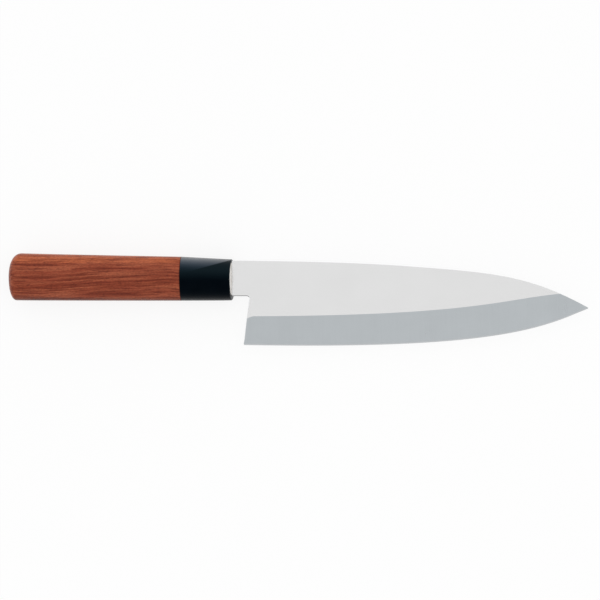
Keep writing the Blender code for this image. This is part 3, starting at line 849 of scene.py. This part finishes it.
def ground_steel(name, colour, roughness, line_scale, line_share, mottle=0.02, lift=0.000001):
    """Steel with grinding lines: fine lines along one axis, broader ones over them, and a faint mottling.

    line_scale is the lines' fineness along each axis, line_share and mottle are how far the lines and the
    clouds shade the colour, and lift is the lines' height in metres.
    """
    material, tree = new_finish(name)
    at = place(tree)
    fine = grain(tree, at, line_scale, detail=2.0, roughness=0.6)
    broad = grain(tree, at, tuple(value * 0.22 for value in line_scale), detail=2.0)
    cloud = grain(tree, at, (55.0, 70.0, 70.0), detail=3.0)
    lines = plus(tree, times(tree, fine, 0.75), times(tree, broad, 0.25))
    lined = span(tree, lines, 0.25, 0.75, 1.0 - line_share, 1.0 + line_share, smooth=False)
    mottled = span(tree, cloud, 0.2, 0.8, 1.0 - mottle, 1.0 + mottle, smooth=False)
    shade = grey(tree, times(tree, lined, mottled))
    tint = put(tree, "ShaderNodeVectorMath", {0: colour, 1: shade}, operation="MULTIPLY").outputs["Vector"]
    rough = plus(tree, span(tree, lines, 0.2, 0.8, roughness - 0.03, roughness + 0.03, smooth=False),
                 span(tree, cloud, 0.25, 0.75, -0.02, 0.02, smooth=False))
    finished(tree, {
        "Base Color": tint,
        "Metallic": 1.0,
        "Roughness": rough,
        "Normal": raised(tree, lines, lift),
    })
    return material


def waved_grain(tree, at):
    """Place in the wood whose layers run along the handle: they rise from the butt, hump once and wander."""
    x, y, z = parts(tree, at)
    rise = span(tree, x, GRAIN_RISE_ENDS[0], GRAIN_RISE_ENDS[1], 0.0, GRAIN_RISE)
    first, top, last = GRAIN_HUMP_PLACES
    hump = times(tree, span(tree, x, first, top), span(tree, x, top, last, 1.0, 0.0))
    wander = times(tree, minus(tree, grain(tree, at, (26.0, 70.0, 70.0), detail=2.0), 0.5), GRAIN_WANDER)
    shift = plus(tree, plus(tree, rise, times(tree, hump, GRAIN_HUMP)), wander)
    level = minus(tree, y, shift)
    layer = plus(tree, z, times(tree, wander, LAYER_WANDER))
    return put(tree, "ShaderNodeCombineXYZ", {0: x, 1: level, 2: layer}).outputs[0]


def painted_wood_light_and_shade(tree, y):
    """Painted light and shade by height: the colour is darkened along the underside and brightened towards
    the top, most in the painted highlight band.
    """
    upper = span(tree, y, UPPER_PAINTED_LIGHT_BAND[0], UPPER_PAINTED_LIGHT_BAND[1], MIDDLE_PAINTED_LIGHT, UPPER_PAINTED_LIGHT)
    lower = span(tree, y, UNDERSIDE_PAINTED_SHADE_BAND[0], UNDERSIDE_PAINTED_SHADE_BAND[1], UNDERSIDE_PAINTED_SHADE, 1.0)
    return times(tree, times(tree, upper, lower), span(tree, y, TOP_PAINTED_HIGHLIGHT_BAND[0], TOP_PAINTED_HIGHLIGHT_BAND[1], 1.0, TOP_PAINTED_HIGHLIGHT))


def make_wood():
    """Reddish laminated wood: thin dark veins, short dashes and fine fibres, which wave along the handle."""
    material, tree = new_finish("reddish_laminated_wood")
    at = place(tree)
    x, y, _ = parts(tree, at)
    waved = waved_grain(tree, at)
    tones = grain(tree, waved, (18.0, 300.0, 160.0), detail=2.0, roughness=0.5)
    threads = grain(tree, waved, (28.0, 720.0, 560.0), detail=2.0, roughness=0.6)
    lines = grain(tree, waved, (45.0, 1400.0, 1100.0), detail=2.0, roughness=0.6)
    veins = grain(tree, waved, (22.0, 460.0, 230.0), detail=1.0)
    breaks = grain(tree, waved, (70.0, 300.0, 200.0), detail=1.0)
    dashes = grain(tree, waved, (260.0, 1900.0, 1100.0), detail=2.0)
    fibres = grain(tree, waved, (900.0, 2400.0, 2200.0), detail=2.0)
    patches = grain(tree, at, (30.0, 160.0, 110.0), detail=2.0)
    beside = maths(tree, "ABSOLUTE", minus(tree, veins, 0.5))
    vein = times(tree, span(tree, beside, 0.010, 0.050, 1.0, 0.0), span(tree, breaks, 0.44, 0.58))
    colour = blend(tree, span(tree, tones, 0.36, 0.64), WOOD_TONES[0], WOOD_TONES[1])
    for share, tone in (
        (span(tree, patches, 0.50, 0.72, 0.0, 0.35), WOOD_RED_PATCH),
        # Painted highlight: the band near the top is blended towards a lighter colour.
        (span(tree, y, TOP_PAINTED_HIGHLIGHT_BAND[0], TOP_PAINTED_HIGHLIGHT_BAND[1], 0.0, 0.6), WOOD_PAINTED_HIGHLIGHT),
        (span(tree, threads, 0.50, 0.36, 0.0, 0.6), WOOD_PALE_THREAD),
        (span(tree, threads, 0.50, 0.64, 0.0, 0.6), WOOD_DARK_THREAD),
        (span(tree, lines, 0.48, 0.36, 0.0, 0.4), WOOD_PALE_LINE),
        (span(tree, lines, 0.52, 0.64, 0.0, 0.6), WOOD_DARK_LINE),
        (times(tree, vein, 0.4), WOOD_VEIN),
        (span(tree, dashes, 0.58, 0.70, 0.0, 0.6), WOOD_DASH),
    ):
        colour = blend(tree, share, colour, tone)
    fibre = span(tree, fibres, 0.3, 0.7, 0.78, 1.22, smooth=False)
    # The fibres' random tone, then painted light and shade by height.
    for factor in (fibre, painted_wood_light_and_shade(tree, y)):
        colour = blend(tree, 1.0, colour, grey(tree, factor), mode="MULTIPLY")
    at_seam = span(tree, x, SEAM_PLACE - SEAM_SHADE_RUN, SEAM_PLACE, 0.0, 0.75)
    at_butt = span(tree, x, BUTT_PLACE + BUTT_SHADE_RUN, BUTT_PLACE, 0.0, 0.6)
    colour = blend(tree, at_seam, colour, WOOD_SEAM_SHADE)
    colour = blend(tree, at_butt, colour, WOOD_BUTT_SHADE)
    rough = plus(tree, span(tree, threads, 0.3, 0.7, 0.30, 0.40), span(tree, fibres, 0.3, 0.7, -0.03, 0.03))
    pores = plus(tree, times(tree, vein, -0.5), span(tree, dashes, 0.60, 0.74, 0.0, -0.6))
    finished(tree, {
        "Base Color": colour,
        "Roughness": rough,
        "Specular IOR Level": 0.11,
        "Normal": raised(tree, plus(tree, pores, times(tree, fibres, 0.25)), 0.00002),
    })
    return material


def collar_painted_highlight(tree, at):
    """How near the collar's spine side a place is, and the share of painted highlight there: the nearness to
    a power.

    The painted highlight thins evenly towards the front. It ends along a slanting line and at the side wall
    below it.
    """
    x, y, z = parts(tree, at)
    flank = span(tree, x, SEAM_PLACE, FRONT_PLACE, SEAM_FLANK, MOUTH_FLANK, smooth=False)
    near = span(tree, minus(tree, flank, y), 0.0, COLLAR_PAINTED_HIGHLIGHT_WIDTH, 1.0, 0.0, smooth=False)
    share = maths(tree, "POWER", near, COLLAR_PAINTED_HIGHLIGHT_FALL)
    share = times(tree, share, span(tree, x, COLLAR_PAINTED_HIGHLIGHT_ENDS[0], COLLAR_PAINTED_HIGHLIGHT_ENDS[1], 1.0, COLLAR_PAINTED_HIGHLIGHT_AT_FRONT))
    slant = times(tree, minus(tree, x, COLLAR_PAINTED_HIGHLIGHT_LINE_START[0]), COLLAR_PAINTED_HIGHLIGHT_LINE_SLOPE)
    above = minus(tree, minus(tree, y, COLLAR_PAINTED_HIGHLIGHT_LINE_START[1]), slant)
    share = times(tree, share, span(tree, above, -COLLAR_PAINTED_HIGHLIGHT_LINE_SOFTNESS, COLLAR_PAINTED_HIGHLIGHT_LINE_SOFTNESS))
    return near, times(tree, share, span(tree, z, COLLAR_PAINTED_HIGHLIGHT_WALL[0], COLLAR_PAINTED_HIGHLIGHT_WALL[1]))


def make_collar_resin():
    """Black resin, satined lengthwise: a painted blue sheen, hairlines in the gloss and a painted shoulder
    highlight.
    """
    material, tree = new_finish("black_collar_resin")
    at = place(tree)
    _, y, _ = parts(tree, at)
    hairs = grain(tree, at, (90.0, 5200.0, 5200.0), detail=2.0)
    skin = grain(tree, at, (420.0, 420.0, 420.0), detail=2.0)
    cloud = grain(tree, at, (90.0, 90.0, 90.0), detail=3.0)
    colour = blend(tree, span(tree, cloud, 0.3, 0.7), COLLAR_TONES[0], COLLAR_TONES[1])
    # Painted sheen: the colour turns bluish towards the spine side.
    colour = blend(tree, span(tree, y, COLLAR_PAINTED_SHEEN_SPAN[0], COLLAR_PAINTED_SHEEN_SPAN[1]), colour, COLLAR_PAINTED_SHEEN)
    # Painted highlight along the upper shoulder, hairlined, ending at a slanting line and at the side wall.
    near, highlight_share = collar_painted_highlight(tree, at)
    hairlined_highlight = times(tree, highlight_share, span(tree, hairs, 0.2, 0.8, 0.9, 1.1))
    colour = blend(tree, hairlined_highlight, colour, blend(tree, near, COLLAR_PAINTED_HIGHLIGHT_TONES[0], COLLAR_PAINTED_HIGHLIGHT_TONES[1]))
    finished(tree, {
        "Base Color": colour,
        "Roughness": span(tree, hairs, 0.3, 0.75, 0.29, 0.43),
        "Specular IOR Level": 0.4,
        "Specular Tint": COLLAR_GLOSS,
        "Normal": raised(tree, plus(tree, times(tree, skin, 0.8), times(tree, hairs, 0.2)), 0.000003),
    })
    return material


def make_resin(name, light, deep, roughness):
    """Cured resin: clouded between two tones, with small bubbles and flow marks in its skin."""
    material, tree = new_finish(name)
    at = place(tree)
    cloud = grain(tree, at, (380.0, 380.0, 380.0), detail=4.0)
    bubbles = grain(tree, at, (2600.0, 2600.0, 2600.0), detail=1.0)
    finished(tree, {
        "Base Color": blend(tree, span(tree, cloud, 0.3, 0.7), light, deep),
        "Roughness": span(tree, cloud, 0.3, 0.7, roughness - 0.06, roughness + 0.08),
        "Normal": raised(tree, plus(tree, cloud, times(tree, bubbles, 0.3)), 0.00003),
    })
    return material


# Stage


def make_floor():
    """White table: the camera and reflections see it nearly shadeless, so that only a faint shadow shows."""
    material, tree = new_finish("white_table")
    cloud = grain(tree, place(tree), (9.0, 9.0, 9.0), detail=4.0)
    colour = grey(tree, span(tree, cloud, 0.3, 0.7, FLOOR_TONES[0], FLOOR_TONES[1]))
    paint = put(tree, "ShaderNodeBsdfDiffuse", {"Color": colour}).outputs[0]
    glow = put(tree, "ShaderNodeEmission", {"Color": (1.0, 1.0, 1.0, 1.0), "Strength": FLOOR_GLOW}).outputs[0]
    path = put(tree, "ShaderNodeLightPath").outputs
    seen = plus(tree, path["Is Camera Ray"], path["Is Glossy Ray"])
    seen = maths(tree, "ADD", seen, path["Is Transmission Ray"], clamp=True)
    shadeless = times(tree, seen, FLOOR_SHADELESS)
    mixed = put(tree, "ShaderNodeMixShader", {0: shadeless, 1: paint, 2: glow}).outputs[0]
    put(tree, "ShaderNodeOutputMaterial", {"Surface": mixed})
    half = FLOOR_HALF
    corners = [(-half, -half, 0.0), (half, -half, 0.0), (half, half, 0.0), (-half, half, 0.0)]
    mesh = bpy.data.meshes.new("table_top")
    mesh.from_pydata(corners, [], [(0, 1, 2, 3)])
    mesh.materials.append(material)
    floor = bpy.data.objects.new("table_top", mesh)
    bpy.context.scene.collection.objects.link(floor)


def make_world():
    """Pale studio walls, white low down and a little dimmer overhead, with a soft grey patch below the edge.

    The patch is round: its dimness grows with the cosine of the angle between a direction and its middle.
    """
    world = bpy.data.worlds.new("studio")
    world.use_nodes = True
    tree = world.node_tree
    tree.nodes.clear()
    way = put(tree, "ShaderNodeTexCoord").outputs["Generated"]
    _, _, up = parts(tree, way)
    walls = span(tree, up, WALL_SPAN[0], WALL_SPAN[1], 1.0, OVERHEAD_LEVEL)
    middle = (0.0, -math.sin(PATCH_LEAN), math.cos(PATCH_LEAN))
    near = put(tree, "ShaderNodeVectorMath", {0: way, 1: middle}, operation="DOT_PRODUCT").outputs["Value"]
    patch = span(tree, near, PATCH_SPAN[0], PATCH_SPAN[1], 1.0, 1.0 - PATCH_DIMNESS)
    level = times(tree, walls, patch)
    light = put(tree, "ShaderNodeBackground", {"Color": (1.0, 1.0, 1.0, 1.0), "Strength": level}).outputs[0]
    put(tree, "ShaderNodeOutputWorld", {"Surface": light})
    bpy.context.scene.world = world


def make_camera():
    """Long lens above the knife, leaning towards the tip, as the photograph's viewing angle has it."""
    data = bpy.data.cameras.new("camera")
    data.lens = CAMERA_LENS
    camera = bpy.data.objects.new("camera", data)
    back = np.array((math.sin(CAMERA_LEAN), 0.0, math.cos(CAMERA_LEAN)))
    camera.location = np.array(CAMERA_AIM) + back * CAMERA_DISTANCE
    camera.rotation_euler = (0.0, CAMERA_LEAN, 0.0)
    bpy.context.scene.collection.objects.link(camera)
    bpy.context.scene.camera = camera


def main():
    """Dress the four visible solids and the bedding, then set the floor, the light and the camera."""
    along, across = (60.0, 3800.0, 3800.0), (4200.0, 70.0, 70.0)
    steels = [
        ground_steel("satin_flat_steel", (0.828, 0.828, 0.828), 0.20, along, 0.02),
        ground_steel("ground_bevel_steel", (0.640, 0.680, 0.705), 0.30, across, 0.02),
        ground_steel("honed_edge_steel", (0.74, 0.76, 0.78), 0.25, (120.0, 6000.0, 6000.0), 0.02),
        ground_steel("flat_back_rim_steel", (0.92, 0.92, 0.93), 0.30, along, 0.02),
        ground_steel("hollow_ground_back_steel", (0.88, 0.89, 0.90), 0.36, across, 0.035),
        ground_steel("brushed_border_steel", (0.90, 0.90, 0.91), 0.36, (70.0, 70.0, 4200.0), 0.03),
        # Painted shade along the neck's rounded lower edge.
        ground_steel("neck_painted_shade_steel", (0.24, 0.24, 0.25), 0.45, (500.0, 500.0, 500.0), 0.10, mottle=0.10),
        ground_steel("rough_tang_steel", (0.42, 0.41, 0.40), 0.55, (900.0, 900.0, 900.0), 0.15, mottle=0.20),
    ]
    collar = make_collar_resin()
    amber = make_resin("amber_bedding_resin", (0.34, 0.21, 0.09), (0.24, 0.14, 0.06), 0.42)
    pale = make_resin("pale_seal_resin", (0.90, 0.87, 0.83), (0.86, 0.82, 0.77), 0.35)
    for piece, node, slot in (
        (make_blade(steels), "blade", "steel"),
        (make_ferrule(collar), "ferrule", "ferrule_resin"),
        (make_handle(make_wood()), "handle", "handle_wood"),
        (make_seal(pale), "mouth_seal", "seal_resin"),
    ):
        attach(piece, "root")
        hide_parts(node)
    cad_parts["tang_bedding"].material_slots[0].material = amber
    make_floor()
    make_world()
    make_camera()
    bpy.context.scene.view_settings.view_transform = "Standard"


main()
